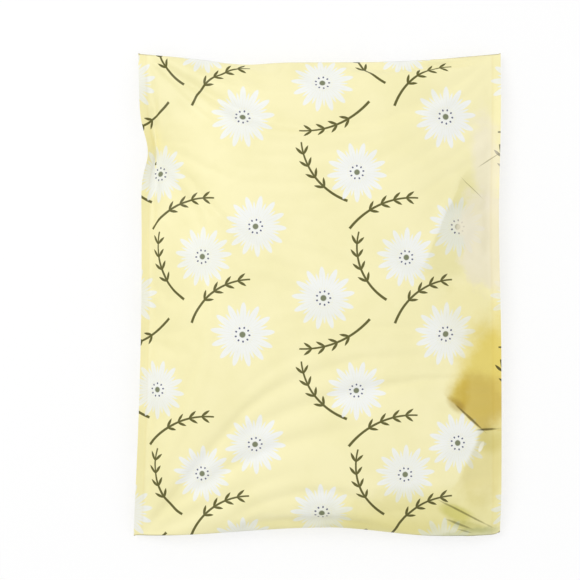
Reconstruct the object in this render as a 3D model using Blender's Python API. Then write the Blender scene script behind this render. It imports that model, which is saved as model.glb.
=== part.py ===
"""A filled and sealed poly mailer, lying on its back.

The real thing is one web of polyethylene film, folded at the bottom, welded down both sides and closed by
a flap that is stuck down behind. It is packed with folded clothing and can't be seen into, so it is one
closed solid. Metres, +Z up: +X runs across the bag, +Y towards the flap's fold, and the origin is on the
floor under the middle of the pack.
"""

import math
import random

import bmesh
import bpy
from mathutils import Vector

MM = 0.001

# The flat bag as it comes from its maker.
BAG_WIDTH = 254 * MM
BAG_LENGTH = 334 * MM
WELD_WIDTH = 6 * MM
FILM_STACK = 0.5 * MM
FLAP_LENGTH = 50 * MM
FLAP_STEP = 0.4 * MM
FLAP_STEP_REACH = 14 * MM

# The bag as it is filled.
PACK_THICKNESS = 34 * MM
SEAM_HEIGHT = 11 * MM
CORNER_HEIGHT = 4 * MM
FRONT_LEFT_REACH = 58 * MM
FRONT_RIGHT_REACH = 70 * MM
FRONT_TOP_REACH = 46 * MM
FRONT_BOTTOM_REACH = 56 * MM
BACK_SIDE_REACH = 42 * MM
BACK_END_REACH = 44 * MM
END_ROUNDNESS = 1.85
CROWN_DROP = 15 * MM
CROWN_X = -12 * MM
CROWN_Y = 24 * MM
WELD_CURL = 1.2 * MM
WELD_VALLEY = 0.8 * MM

# How far the filling draws each edge in from the straight line between its corners.
TOP_DRAW = 6.6 * MM
TOP_DIP = 2.6 * MM
TOP_DIP_X = -52 * MM
TOP_DIP_WIDTH = 18 * MM
BOTTOM_DRAW = 6.2 * MM
BOTTOM_PEAK_X = 9 * MM
BOTTOM_PEAK_LEFT = 128 * MM
BOTTOM_PEAK_RIGHT = 76 * MM
LEFT_DRAW = 4.4 * MM
TOP_LEFT_LEAN = 3.2 * MM
RIGHT_DRAW = 1.8 * MM
RIGHT_DRAW_Y = 52 * MM
RIGHT_DRAW_LENGTH = 60 * MM
BLUNT_CORNER = 1.0 * MM

# Powers of the share of the way out from the middle. A higher one keeps its effect nearer to the edge.
DRAW_POWER = 3
TOP_ARCH_POWER = 3
TOP_ARCH_EASE = 1.3
LOW_CORNER_POWER = 6
BLUNT_CORNER_POWER = 24
PINCH_SINK_POWER = 8

# The kink in the left weld, where the weld has folded up and over towards the bag.
PINCH_Y = 98 * MM
PINCH_DEPTH = 5.2 * MM
PINCH_ABOVE = 17 * MM
PINCH_BELOW = 14 * MM
PINCH_SINK = 3.0 * MM
PINCH_CURL = 3.6 * MM

# Puckers stand square to the welds, where the drawn-in film has length to spare, and to the rolled ends.
PUCKER_SEED = 7
PUCKERS_PER_WELD = 11
PUCKERS_PER_END = 5
PUCKER_DEPTH = 1.5 * MM
PUCKER_WIDTH = 5.5 * MM
PUCKER_REACH = 30 * MM

# Folds of the front, in millimetres: the start, middle and end of a fold's line, its half width, and the
# height of a ridge or minus the depth of a valley.
FRONT_FOLDS = [
    # Out of the kink in the left weld
    ((-106, 90), (-70, 56), (-36, 20), 10, -1.8),
    # Out of the bottom left corner
    ((-106, -150), (-52, -112), (58, -86), 7, -2.8),
    ((-100, -134), (-34, -84), (88, -60), 7, -2.6),
    ((-80, -108), (-10, -58), (112, -40), 7, -1.2),
    # Between the two top corners
    ((-102, 150), (0, 114), (108, 150), 8, -1.6),
    ((-96, 146), (-52, 126), (-30, 118), 7, -1.4),
    ((100, 146), (70, 124), (48, 116), 7, -1.2),
    # Over the edges of the clothing, on the right and at the bottom
    ((104, 60), (101, 20), (98, -22), 12, 1.2),
    ((62, 22), (90, 10), (118, -4), 6, -1.4),
    ((96, -60), (109, -76), (122, -92), 8, -2.2),
    ((84, -148), (101, -154), (118, -160), 5, -2.0),
    ((40, -148), (62, -144), (84, -140), 10, -1.6),
    ((14, -152), (15, -144), (16, -136), 10, 1.6),
]
# Straight steps in a fold's line, and the share of the line over which the fold fades at each end.
FOLD_STEPS = 10
FOLD_FADE = 0.25
# Fullness from which folds and puckers have their whole depth. They have none on the rim.
MARKS_START = 0.5

# Flat facets, where the film spans from the edge of the clothing to a weld. Each is a plane through three
# places (x, y, z), in millimetres.
FRONT_FACETS = [
    ((71, 10, 28.4), (121, 10, 11.4), (121, -100, 11.4)),
    ((40, -20, 31.7), (70, -20, 26.8), (70, -100, 23.9)),
    ((-110, 155, 10.0), (-75, 125, 26.5), (-90, 60, 24.0)),
    ((-110, -152, 10.5), (-60, -130, 23.7), (-80, -80, 27.9)),
]
FACET_ROUNDING = 1.4 * MM

# Rows and columns of the two panels, closer together towards the edges.
COLUMNS = 42
ROWS = 74
COLUMN_CROWDING = 0.5
ROW_CROWDING = 0.25
FLAP_EDGE_GAP = 0.3 * MM

FILM_COLOUR = (0.93, 0.86, 0.47, 1.0)
FILM_ROUGHNESS = 0.38


def clear_scene():
    for scene_object in list(bpy.data.objects):
        bpy.data.objects.remove(scene_object, do_unlink=True)


def film_material():
    """Pale yellow printed polyethylene film with a soft gloss."""
    material = bpy.data.materials.new("printed_film")
    material.use_nodes = True
    shader = material.node_tree.nodes["Principled BSDF"]
    shader.inputs["Base Color"].default_value = FILM_COLOUR
    shader.inputs["Roughness"].default_value = FILM_ROUGHNESS
    shader.inputs["Metallic"].default_value = 0.0
    return material


def crowded(share, crowding):
    """Moves evenly spaced places in -1 to 1 closer together towards both ends."""
    return (1 - crowding) * share + crowding * math.sin(share * math.pi / 2)


def bell(distance, width):
    return math.exp(-((distance / width) ** 2))


def smooth(share):
    share = min(max(share, 0.0), 1.0)
    return share * share * (3 - 2 * share)


def rolled(share, roundness):
    """Height share of a rolled edge: 0 on the edge, 1 from one reach inside it."""
    share = min(max(share, 0.0), 1.0)
    return (1 - (1 - share) ** roundness) ** (1 / roundness)


def eased(share):
    """Height share of a welded edge, where the two panels part at an angle."""
    return math.sin(min(max(share, 0.0), 1.0) * math.pi / 2)


def end_draw(across, towards_flap):
    """How far an end is drawn in at a place across the bag, from -1 to 1."""
    x = across * BAG_WIDTH / 2
    if towards_flap:
        arch = TOP_DRAW * (1 - abs(across) ** TOP_ARCH_POWER) ** TOP_ARCH_EASE
        return arch + TOP_DIP * bell(x - TOP_DIP_X, TOP_DIP_WIDTH)
    ramp = BOTTOM_PEAK_LEFT if x < BOTTOM_PEAK_X else BOTTOM_PEAK_RIGHT
    share = 1 - abs(x - BOTTOM_PEAK_X) / ramp
    return BOTTOM_DRAW * smooth(share)


def pinch(y):
    reach = PINCH_ABOVE if y > PINCH_Y else PINCH_BELOW
    return bell(y - PINCH_Y, reach)


def side_draw(along, left):
    """How far a welded side is drawn in at a place along the bag, from -1 to 1."""
    y = along * BAG_LENGTH / 2
    if not left:
        return RIGHT_DRAW * bell(y - RIGHT_DRAW_Y, RIGHT_DRAW_LENGTH)
    lean = TOP_LEFT_LEAN * (1 + along) / 2
    return LEFT_DRAW * (1 - along * along) + lean + PINCH_DEPTH * pinch(y)


def plan_place(across, along):
    """Where a point of the flat bag lies in plan once the bag is full."""
    blunt = BLUNT_CORNER * (max(across, 0.0) * max(-along, 0.0)) ** BLUNT_CORNER_POWER
    draw_x = side_draw(along, across < 0) * abs(across) ** DRAW_POWER + blunt
    draw_y = end_draw(across, along > 0) * abs(along) ** DRAW_POWER + blunt
    x = across * BAG_WIDTH / 2 - math.copysign(draw_x, across)
    y = along * BAG_LENGTH / 2 - math.copysign(draw_y, along)
    return x, y


def seam_height(across, along):
    """Height of the line where the two panels meet. Only the rim uses its full value."""
    corner = smooth(abs(across * along) ** LOW_CORNER_POWER)
    sink = PINCH_SINK * pinch(along * BAG_LENGTH / 2) * smooth(-across) ** PINCH_SINK_POWER
    return SEAM_HEIGHT + (CORNER_HEIGHT - SEAM_HEIGHT) * corner - sink


def fold_line(start, middle, end):
    """Places along the smooth curve through a fold's three places, in metres."""
    start, middle, end = (Vector(place) * MM for place in (start, middle, end))
    control = 2 * middle - (start + end) / 2
    shares = [step / FOLD_STEPS for step in range(FOLD_STEPS + 1)]
    return [(1 - t) ** 2 * start + 2 * t * (1 - t) * control + t ** 2 * end for t in shares]


def nearest_on_line(place, line):
    """Distance of a place from a fold's line, and the share of the line's length before its nearest point."""
    found = []
    for step, (start, end) in enumerate(zip(line, line[1:])):
        run = end - start
        share = min(max((place - start).dot(run) / run.length_squared, 0.0), 1.0)
        found.append(((place - start - run * share).length, (step + share) / FOLD_STEPS))
    return min(found)


def fold_height(x, y):
    """Height that the folds add to the front. Each fades away towards both of its ends."""
    total = 0.0
    for line, half_width, height in FOLDS:
        distance, share = nearest_on_line(Vector((x, y)), line)
        strength = smooth(share / FOLD_FADE) * smooth((1 - share) / FOLD_FADE)
        total += height * strength * bell(distance, half_width)
    return total


def cut_by_facets(x, y, height):
    """The height that the flat facets leave, with an edge that is slightly rounded."""
    for corner, normal in FACETS:
        plane = corner.z - ((x - corner.x) * normal.x + (y - corner.y) * normal.y) / normal.z
        height = (height + plane - math.hypot(height - plane, FACET_ROUNDING)) / 2
    return height


def all_facets():
    """A place on each facet's plane, in metres, and the plane's normal."""
    facets = []
    for places in FRONT_FACETS:
        corner, second, third = (Vector(place) * MM for place in places)
        facets.append((corner, (second - corner).cross(third - corner)))
    return facets


def all_folds():
    """Line, half width and height of each fold on the front, in metres."""
    return [
        (fold_line(start, middle, end), half_width * MM, height * MM)
        for start, middle, end, half_width, height in FRONT_FOLDS
    ]


def pucker_places(number):
    """Place along an edge, from -1 to 1, and strength of each pucker, evenly spread with some play."""
    pitch = 2 / (number + 1)
    places = [-1 + pitch * (step + 1 + CHANCE.uniform(-0.3, 0.3)) for step in range(number)]
    return [(place, CHANCE.uniform(0.4, 1.0)) for place in places]


CHANCE = random.Random(PUCKER_SEED)
FOLDS = all_folds()
FACETS = all_facets()
WELD_PUCKERS = [pucker_places(PUCKERS_PER_WELD) for _ in range(2)]
END_PUCKERS = [pucker_places(PUCKERS_PER_END) for _ in range(2)]


def pucker_row(puckers, place, edge_length, inside):
    """Valleys that run in from one edge and fade away."""
    total = 0.0
    for centre, strength in puckers:
        total -= PUCKER_DEPTH * strength * bell((place - centre) * edge_length / 2, PUCKER_WIDTH)
    return total * bell(inside, PUCKER_REACH)


def pucker_height(across, along):
    inside_side = (1 - abs(across)) * BAG_WIDTH / 2 - WELD_WIDTH
    inside_end = (1 - abs(along)) * BAG_LENGTH / 2
    on_side = pucker_row(WELD_PUCKERS[across > 0], along, BAG_LENGTH, inside_side)
    on_end = pucker_row(END_PUCKERS[along > 0], across, BAG_WIDTH, inside_end)
    return on_side + on_end


def fullness(across, along, side_reaches, end_reaches):
    """0 on the rim and 1 over the clothing."""
    inside_side = (1 - abs(across)) * BAG_WIDTH / 2 - WELD_WIDTH
    inside_end = (1 - abs(along)) * BAG_LENGTH / 2
    side = eased(inside_side / side_reaches[across > 0])
    return side * rolled(inside_end / end_reaches[along > 0], END_ROUNDNESS)


def crown(x, y):
    """How far the front has come down from its highest place."""
    share_x = (x - CROWN_X) / (BAG_WIDTH / 2)
    share_y = (y - CROWN_Y) / (BAG_LENGTH / 2)
    return CROWN_DROP * (share_x ** 2 + share_y ** 2) / 2


def weld_height(across, along):
    """The weld curls up outside, over the valley where the panels part."""
    inside = (1 - abs(across)) * BAG_WIDTH / 2
    kink = PINCH_CURL * pinch(along * BAG_LENGTH / 2) if across < 0 else 0.0
    curl = (WELD_CURL + kink) * (1 - min(inside / WELD_WIDTH, 1.0))
    return curl - WELD_VALLEY * bell(inside - WELD_WIDTH, WELD_WIDTH / 2)


def front_point(across, along):
    x, y = plan_place(across, along)
    side_reaches = FRONT_LEFT_REACH, FRONT_RIGHT_REACH
    full = fullness(across, along, side_reaches, (FRONT_BOTTOM_REACH, FRONT_TOP_REACH))
    seam = seam_height(across, along) + weld_height(across, along)
    height = seam + full * (PACK_THICKNESS - seam - crown(x, y))
    lowered = cut_by_facets(x, y, height) - height
    marks = lowered + fold_height(x, y) + pucker_height(across, along)
    return Vector((x, y, height + FILM_STACK / 2 + marks * min(full / MARKS_START, 1.0)))


def flap_gap(along):
    """The gap under the back panel, just below the free edge of the flap."""
    below = (1 - along) * BAG_LENGTH / 2 - FLAP_LENGTH
    if below < FLAP_EDGE_GAP / 2:
        return 0.0
    return FLAP_STEP * max(0.0, 1 - (below - FLAP_EDGE_GAP) / FLAP_STEP_REACH)


def back_point(across, along):
    x, y = plan_place(across, along)
    full = fullness(across, along, (BACK_SIDE_REACH,) * 2, (BACK_END_REACH,) * 2)
    seam = seam_height(across, along) + weld_height(across, along)
    full = smooth(full)
    height = (seam - FILM_STACK / 2) * (1 - full)
    return Vector((x, y, max(height, 0.0) + flap_gap(along) * full))


def column_places():
    """Places across the bag, crowded towards the welds, with one on each weld's inner edge."""
    weld = 1 - 2 * WELD_WIDTH / BAG_WIDTH
    shares = [-1 + 2 * i / (COLUMNS - 2) for i in range(COLUMNS - 1)]
    inner = [crowded(share, COLUMN_CROWDING) * weld for share in shares]
    return [-1.0, *inner, 1.0]


def row_places():
    """Places along the bag, crowded towards the ends, with one on the flap's free edge."""
    rows = [crowded(-1 + 2 * i / (ROWS - 1), ROW_CROWDING) for i in range(ROWS)]
    flap_edge = 1 - 2 * FLAP_LENGTH / BAG_LENGTH
    flap_row = min(range(ROWS), key=lambda i: abs(rows[i] - flap_edge))
    rows[flap_row] = flap_edge
    return rows, flap_row


def make_panel(mesh, columns, rows, place_point):
    """Adds a grid and moves each of its points to its place on the filled bag."""
    made = bmesh.ops.create_grid(
        mesh, x_segments=len(columns) - 1, y_segments=len(rows) - 1, size=1
    )
    points = {}
    for vertex in made["verts"]:
        column = round((vertex.co.x + 1) / 2 * (len(columns) - 1))
        row = round((vertex.co.y + 1) / 2 * (len(rows) - 1))
        vertex.co = place_point(columns[column], rows[row])
        points[column, row] = vertex
    return points


def make_front(mesh):
    rows, _ = row_places()
    return make_panel(mesh, column_places(), rows, front_point)


def make_back(mesh):
    """The back has two close rows at the flap's free edge, which meet again on each weld."""
    rows, flap_row = row_places()
    half_gap = FLAP_EDGE_GAP / BAG_LENGTH
    flap_edge = rows[flap_row]
    rows[flap_row:flap_row + 1] = [flap_edge - half_gap, flap_edge + half_gap]
    columns = column_places()
    points = make_panel(mesh, columns, rows, back_point)
    for column, across in ((0, -1.0), (len(columns) - 1, 1.0)):
        pair = [points[column, flap_row], points[column, flap_row + 1]]
        bmesh.ops.pointmerge(mesh, verts=pair, merge_co=back_point(across, flap_edge))


def make_mailer():
    mesh = bmesh.new()
    make_front(mesh)
    make_back(mesh)
    rim = [edge for edge in mesh.edges if edge.is_boundary]
    bmesh.ops.bridge_loops(mesh, edges=rim)
    bmesh.ops.recalc_face_normals(mesh, faces=mesh.faces)
    resting = [face for face in mesh.faces if all(v.co.z == 0 for v in face.verts)]
    bmesh.ops.dissolve_faces(mesh, faces=resting)
    shape = bpy.data.meshes.new("mailer")
    mesh.to_mesh(shape)
    mesh.free()
    shape.shade_smooth()
    mailer = bpy.data.objects.new("mailer", shape)
    mailer.data.materials.append(film_material())
    return mailer


def main():
    clear_scene()
    parts = bpy.data.collections.new("poly_mailer")
    bpy.context.scene.collection.children.link(parts)
    parts.objects.link(make_mailer())


main()
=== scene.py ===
"""The looks of a filled and sealed poly mailer that lies on its back, in metres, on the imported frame."""

import math

import bmesh
import bpy
from mathutils import Matrix, Vector
from mathutils.bvhtree import BVHTree
from mathutils.geometry import interpolate_bezier, intersect_point_line


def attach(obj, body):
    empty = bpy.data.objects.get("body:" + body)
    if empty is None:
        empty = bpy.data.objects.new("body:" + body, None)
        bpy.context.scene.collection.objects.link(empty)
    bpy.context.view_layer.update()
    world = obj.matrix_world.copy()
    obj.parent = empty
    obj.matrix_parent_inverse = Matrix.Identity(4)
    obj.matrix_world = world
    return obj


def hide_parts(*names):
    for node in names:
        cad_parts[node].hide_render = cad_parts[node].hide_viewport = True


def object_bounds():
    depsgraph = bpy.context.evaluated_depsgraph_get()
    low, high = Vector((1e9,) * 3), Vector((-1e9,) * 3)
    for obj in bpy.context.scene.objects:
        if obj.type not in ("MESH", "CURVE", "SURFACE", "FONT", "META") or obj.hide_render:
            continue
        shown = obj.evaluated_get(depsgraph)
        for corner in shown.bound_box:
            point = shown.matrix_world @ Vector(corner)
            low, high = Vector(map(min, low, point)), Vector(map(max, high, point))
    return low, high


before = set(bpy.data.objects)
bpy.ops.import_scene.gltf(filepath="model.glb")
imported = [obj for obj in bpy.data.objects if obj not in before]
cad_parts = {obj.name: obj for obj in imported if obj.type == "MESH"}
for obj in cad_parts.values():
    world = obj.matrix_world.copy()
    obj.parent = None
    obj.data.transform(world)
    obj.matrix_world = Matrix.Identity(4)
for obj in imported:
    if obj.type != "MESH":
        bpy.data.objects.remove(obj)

cad_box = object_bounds()


# Flat film bag.
# The real one is a web of three-layer polyethylene film, folded at the bottom, and cut and welded down
# both sides by hot bars. It is laid out flat first, so that the film keeps its true length when filled.
MM = 0.001
cad_low, cad_high = cad_box
filled_width = cad_high.x - cad_low.x
filled_length = cad_high.y - cad_low.y
SPARE_FILM = 1.012
WELD_WIDTH = 6 * MM
FLAP_LENGTH = 50 * MM
PLY_GAP = 0.3 * MM
MERGE_REACH = PLY_GAP / 10
CELL = 3 * MM
WELD_CELLS = 2
# Places on the flat film that are no further apart than this count as one.
CLOSE = CELL / 10

flat_width = filled_width * SPARE_FILM
flat_length = filled_length * SPARE_FILM
weld_edge = flat_width / 2 - WELD_WIDTH
flap_edge = flat_length / 2 - FLAP_LENGTH
panel_cells = round((flat_width - 2 * WELD_WIDTH) / CELL)
body_cells = round((flat_length - FLAP_LENGTH) / CELL)
flap_cells = round(FLAP_LENGTH / CELL)


def new_node(tree, kind, settings=None, **inputs):
    """Adds a node, with its settings and its input values or links given by the sockets' names."""
    node = tree.nodes.new(kind)
    for name, value in (settings or {}).items():
        setattr(node, name, value)
    for name, value in inputs.items():
        place_input(tree, node.inputs[name.replace("_", " ")], value)
    return node


def place_input(tree, socket, value):
    if isinstance(value, bpy.types.NodeSocket):
        tree.links.new(value, socket)
    else:
        socket.default_value = value


def operation_node(tree, kind, operation, values):
    node = tree.nodes.new(kind)
    node.operation = operation
    for socket, value in zip(node.inputs, values):
        place_input(tree, socket, value)
    return node.outputs


def math_node(tree, operation, *values):
    """A Math node's result, each value being a number or another node's socket."""
    return operation_node(tree, "ShaderNodeMath", operation, values)[0]


def vector_node(tree, operation, *values):
    """A Vector Math node's outputs, each value being a vector or another node's socket."""
    return operation_node(tree, "ShaderNodeVectorMath", operation, values)


def ramp(tree, value, low, high, start=0.0, end=1.0, kind="SMOOTHSTEP"):
    """Goes from start to end as the value goes from low to high, and stays there beyond."""
    return new_node(
        tree,
        "ShaderNodeMapRange",
        {"interpolation_type": kind},
        Value=value,
        From_Min=low,
        From_Max=high,
        To_Min=start,
        To_Max=end,
    ).outputs[0]


def point_place(tree):
    """The X, Y and Z of each point."""
    position = tree.nodes.new("GeometryNodeInputPosition").outputs[0]
    return new_node(tree, "ShaderNodeSeparateXYZ", Vector=position).outputs


def stored(tree, geometry, domain, kind, name, value):
    """Geometry that keeps a value as a named attribute."""
    return new_node(
        tree,
        "GeometryNodeStoreNamedAttribute",
        {"data_type": kind, "domain": domain},
        Geometry=geometry,
        Name=name,
        Value=value,
    ).outputs[0]


def new_tree(name, kind, inputs, outputs):
    """A node group with named sockets, and the nodes that carry its inputs and outputs."""
    tree = bpy.data.node_groups.new(name, kind)
    for label, socket_type, value in inputs:
        socket = tree.interface.new_socket(label, in_out="INPUT", socket_type=socket_type)
        if value is not None:
            socket.default_value = value
    for label, socket_type in outputs:
        tree.interface.new_socket(label, in_out="OUTPUT", socket_type=socket_type)
    entry = tree.nodes.new("NodeGroupInput").outputs
    leave = tree.nodes.new("NodeGroupOutput").inputs
    return tree, entry, leave


def end_tree(tree, geometry, material, leave):
    """Ends a tree with its geometry made plain and given its material."""
    plain = new_node(tree, "GeometryNodeRealizeInstances", Geometry=geometry).outputs[0]
    dressed = new_node(tree, "GeometryNodeSetMaterial", Geometry=plain, Material=material)
    tree.links.new(dressed.outputs[0], leave[0])


def add_object(name, data):
    """Adds an object at the origin."""
    item = bpy.data.objects.new(name, data)
    bpy.context.scene.collection.objects.link(item)
    return item


def applied_mesh(item, name):
    """The mesh of an object with its shape keys and modifiers applied. The object is removed."""
    depsgraph = bpy.context.evaluated_depsgraph_get()
    made = bpy.data.meshes.new_from_object(
        item.evaluated_get(depsgraph), preserve_all_data_layers=True, depsgraph=depsgraph
    )
    made.name = name
    bpy.data.objects.remove(item)
    return made


def run_tree(name, tree, values, mesh=None):
    """The plain mesh that a Geometry Nodes tree makes with these values for its named inputs."""
    holder = add_object(name, mesh or bpy.data.meshes.new(name))
    modifier = holder.modifiers.new(name, "NODES")
    modifier.node_group = tree
    for item in tree.interface.items_tree:
        if item.item_type == "SOCKET" and item.in_out == "INPUT" and item.name in values:
            modifier[item.identifier] = values[item.name]
    return applied_mesh(holder, name)


def flat_bag_tree():
    """Two panels, cell by cell, closed along both folds and both welds, with the print's own UV map."""
    tree, entry, leave = new_tree(
        "flat_film_bag",
        "GeometryNodeTree",
        [
            ("Width", "NodeSocketFloat", None),
            ("Length", "NodeSocketFloat", None),
            ("Weld Width", "NodeSocketFloat", None),
            ("Flap Length", "NodeSocketFloat", None),
            ("Ply Gap", "NodeSocketFloat", None),
            ("Weld Cells", "NodeSocketInt", None),
            ("Panel Cells", "NodeSocketInt", None),
            ("Body Cells", "NodeSocketInt", None),
            ("Flap Cells", "NodeSocketInt", None),
            ("Film", "NodeSocketMaterial", None),
        ],
        [("Geometry", "NodeSocketGeometry")],
    )
    weld_cells, weld_width = entry["Weld Cells"], entry["Weld Width"]
    panel_end = math_node(tree, "ADD", weld_cells, entry["Panel Cells"])
    across_cells = math_node(tree, "ADD", panel_end, weld_cells)
    along_cells = math_node(tree, "ADD", entry["Body Cells"], entry["Flap Cells"])
    grid = new_node(
        tree,
        "GeometryNodeMeshGrid",
        Size_X=across_cells,
        Size_Y=along_cells,
        Vertices_X=math_node(tree, "ADD", across_cells, 1),
        Vertices_Y=math_node(tree, "ADD", along_cells, 1),
    ).outputs["Mesh"]
    on_grid = point_place(tree)
    column = math_node(tree, "MULTIPLY_ADD", across_cells, 0.5, on_grid["X"])
    row = math_node(tree, "MULTIPLY_ADD", along_cells, 0.5, on_grid["Y"])

    two_welds = math_node(tree, "MULTIPLY", weld_width, 2)
    panel_width = math_node(tree, "SUBTRACT", entry["Width"], two_welds)
    x = math_node(tree, "MULTIPLY", entry["Width"], -0.5)
    for first, last, width in (
        (0, weld_cells, weld_width),
        (weld_cells, panel_end, panel_width),
        (panel_end, across_cells, weld_width),
    ):
        x = math_node(tree, "ADD", x, ramp(tree, column, first, last, 0.0, width, "LINEAR"))
    body_length = math_node(tree, "SUBTRACT", entry["Length"], entry["Flap Length"])
    y = math_node(tree, "MULTIPLY", entry["Length"], -0.5)
    for first, last, length in (
        (0, entry["Body Cells"], body_length),
        (entry["Body Cells"], along_cells, entry["Flap Length"]),
    ):
        y = math_node(tree, "ADD", y, ramp(tree, row, first, last, 0.0, length, "LINEAR"))

    lift = math_node(tree, "MULTIPLY", entry["Ply Gap"], 0.5)
    for number, cells in ((column, across_cells), (row, along_cells)):
        past_first = math_node(tree, "GREATER_THAN", number, 0.5)
        before_last = math_node(tree, "LESS_THAN", number, math_node(tree, "SUBTRACT", cells, 0.5))
        lift = math_node(tree, "MULTIPLY", lift, math_node(tree, "MULTIPLY", past_first, before_last))
    place = new_node(tree, "ShaderNodeCombineXYZ", X=x, Y=y, Z=lift).outputs[0]
    front = new_node(tree, "GeometryNodeSetPosition", Geometry=grid, Position=place).outputs[0]
    back = new_node(tree, "GeometryNodeTransform", Geometry=front, Scale=(1, 1, -1)).outputs[0]

    flat_place = point_place(tree)
    middle = new_node(tree, "GeometryNodeFieldOnDomain", {"domain": "FACE"})
    tree.links.new(flat_place["Y"], middle.inputs[0])
    half_length = math_node(tree, "MULTIPLY", entry["Length"], 0.5)
    edge_of_flap = math_node(tree, "SUBTRACT", half_length, entry["Flap Length"])
    on_flap = math_node(tree, "GREATER_THAN", middle.outputs[0], edge_of_flap)
    way = math_node(tree, "MULTIPLY_ADD", on_flap, 2.0, -1.0)
    behind = math_node(
        tree, "SUBTRACT", math_node(tree, "MULTIPLY", entry["Length"], way), flat_place["Y"]
    )
    sides = []
    for panel, along_web, side in ((front, flat_place["Y"], 1.0), (back, behind, 0.0)):
        on_web = new_node(tree, "ShaderNodeCombineXYZ", X=flat_place["X"], Y=along_web).outputs[0]
        marked = stored(tree, panel, "CORNER", "FLOAT2", "print", on_web)
        sides.append(stored(tree, marked, "FACE", "FLOAT", "front", side))
    turned = new_node(tree, "GeometryNodeFlipFaces", Mesh=sides[1]).outputs[0]
    both = tree.nodes.new("GeometryNodeJoinGeometry")
    for side in (sides[0], turned):
        tree.links.new(side, both.inputs[0])
    position = tree.nodes.new("GeometryNodeInputPosition").outputs[0]
    kept = stored(tree, both.outputs[0], "POINT", "FLOAT_VECTOR", "flat", position)
    on_rim = math_node(tree, "COMPARE", point_place(tree)["Z"], 0.0, MERGE_REACH)
    rimmed = stored(tree, kept, "POINT", "FLOAT", "rim", on_rim)
    closed = new_node(tree, "GeometryNodeMergeByDistance", Geometry=rimmed, Distance=MERGE_REACH)
    end_tree(tree, closed.outputs[0], entry["Film"], leave)
    return tree


film_finish = bpy.data.materials.new("printed_film")
flat_bag = run_tree(
    "flat_bag",
    flat_bag_tree(),
    {
        "Width": flat_width,
        "Length": flat_length,
        "Weld Width": WELD_WIDTH,
        "Flap Length": FLAP_LENGTH,
        "Ply Gap": PLY_GAP,
        "Weld Cells": WELD_CELLS,
        "Panel Cells": panel_cells,
        "Body Cells": body_cells,
        "Flap Cells": flap_cells,
        "Film": film_finish,
    },
)


# Filling.
# Folded clothing fills the bag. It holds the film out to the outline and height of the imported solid, and
# the film, which doesn't stretch, takes up the difference in its true length as folds and puckers.
HOLD_OF_FILLING = 0.2
FILLING_FRAMES = 10
SETTLED_FRAME = 24
INSIDE = 0.998
RIM_SPREAD = 0.02 * MM
CORNER_END = 0.97
RIPPLE_HEIGHT = 0.4 * MM
# Each is a wave's length and where it starts, in radians.
RIPPLES = [(23 * MM, 0.4), (37 * MM, 2.3), (64 * MM, 4.1)]

cad_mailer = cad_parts["mailer"]
cad_points = [vertex.co.copy() for vertex in cad_mailer.data.vertices]
cad_surface = BVHTree.FromPolygons(
    cad_points, [tuple(face.vertices) for face in cad_mailer.data.polygons]
)
cad_edges = [[cad_points[end] for end in edge.vertices] for edge in cad_mailer.data.edges]


def cad_rim(axis, place):
    """The solid's reach both ways along the other plan axis, with the height of its rim there."""
    across = 1 - axis
    hits = []
    for start, end in cad_edges:
        from_start, whole = place - start[axis], end[axis] - start[axis]
        if whole and 0 <= from_start / whole <= 1:
            hits.append(start.lerp(end, from_start / whole))
    rims = []
    for way in (-1, 1):
        reach = max(way * hit[across] for hit in hits)
        heights = [hit.z for hit in hits if way * hit[across] > reach - RIM_SPREAD]
        rims.append((way * reach, (min(heights) + max(heights)) / 2))
    return rims


def drawn_in(share, size, reach):
    """The plan place of a share, from -1 to 1, of a flat size whose edges are drawn in to a reach."""
    edge, _ = reach[share > 0]
    draw = size / 2 - abs(edge)
    return share * size / 2 - math.copysign(draw, share) * abs(share) ** 3


def side_rim(share):
    """The two welds at a share of the length. Past CORNER_END they run straight on."""
    return cad_rim(1, max(-CORNER_END, min(share, CORNER_END)) * filled_length / 2)


def weld_ripple(x, y):
    """Small waves of a weld, which shrinks as it cools. The two welds have waves of their own."""
    waves = [math.sin(2 * math.pi * y / length + math.copysign(start, x)) for length, start in RIPPLES]
    return RIPPLE_HEIGHT * sum(waves) / len(waves)


def height_at(x, y, downwards):
    """Height of the solid's front, looking down on it, or of its back, looking up."""
    start = Vector((x * INSIDE, y * INSIDE, 1.0 if downwards else -1.0))
    return cad_surface.ray_cast(start, Vector((0, 0, -1 if downwards else 1)))[0].z


def column_and_row(place):
    """A place on the flat film, rounded so that all points of a column or a row share one number."""
    return round(place.x, 6), round(place.y, 6)


def filled_places(mesh):
    """Where each point of the flat bag lies once it is filled, from the solid's own surface."""
    columns, rows = map(set, zip(*(column_and_row(vertex.co) for vertex in mesh.vertices)))
    sides = {row: side_rim(2 * row / flat_length) for row in rows}
    ends = {}
    for column in columns:
        corner_x = [drawn_in(2 * column / flat_width, filled_width, side_rim(end)) for end in (-1, 1)]
        ends[column] = [cad_rim(0, x * INSIDE)[end] for end, x in enumerate(corner_x)]
    places = []
    for vertex in mesh.vertices:
        column, row = column_and_row(vertex.co)
        across, along = 2 * column / flat_width, 2 * row / flat_length
        x = drawn_in(across, filled_width, sides[row])
        y = drawn_in(along, filled_length, ends[column])
        if abs(along) > INSIDE:
            over = under = ends[column][along > 0][1]
        elif abs(across) > INSIDE:
            over = under = sides[row][across > 0][1]
        else:
            over, under = height_at(x, y, True), height_at(x, y, False)
        if abs(vertex.co.x) > weld_edge - CLOSE:
            over = under = (over + under) / 2 + weld_ripple(x, y)
        places.append(Vector((x, y, (over if vertex.co.z > 0 else under) + vertex.co.z)))
    return places


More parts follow.
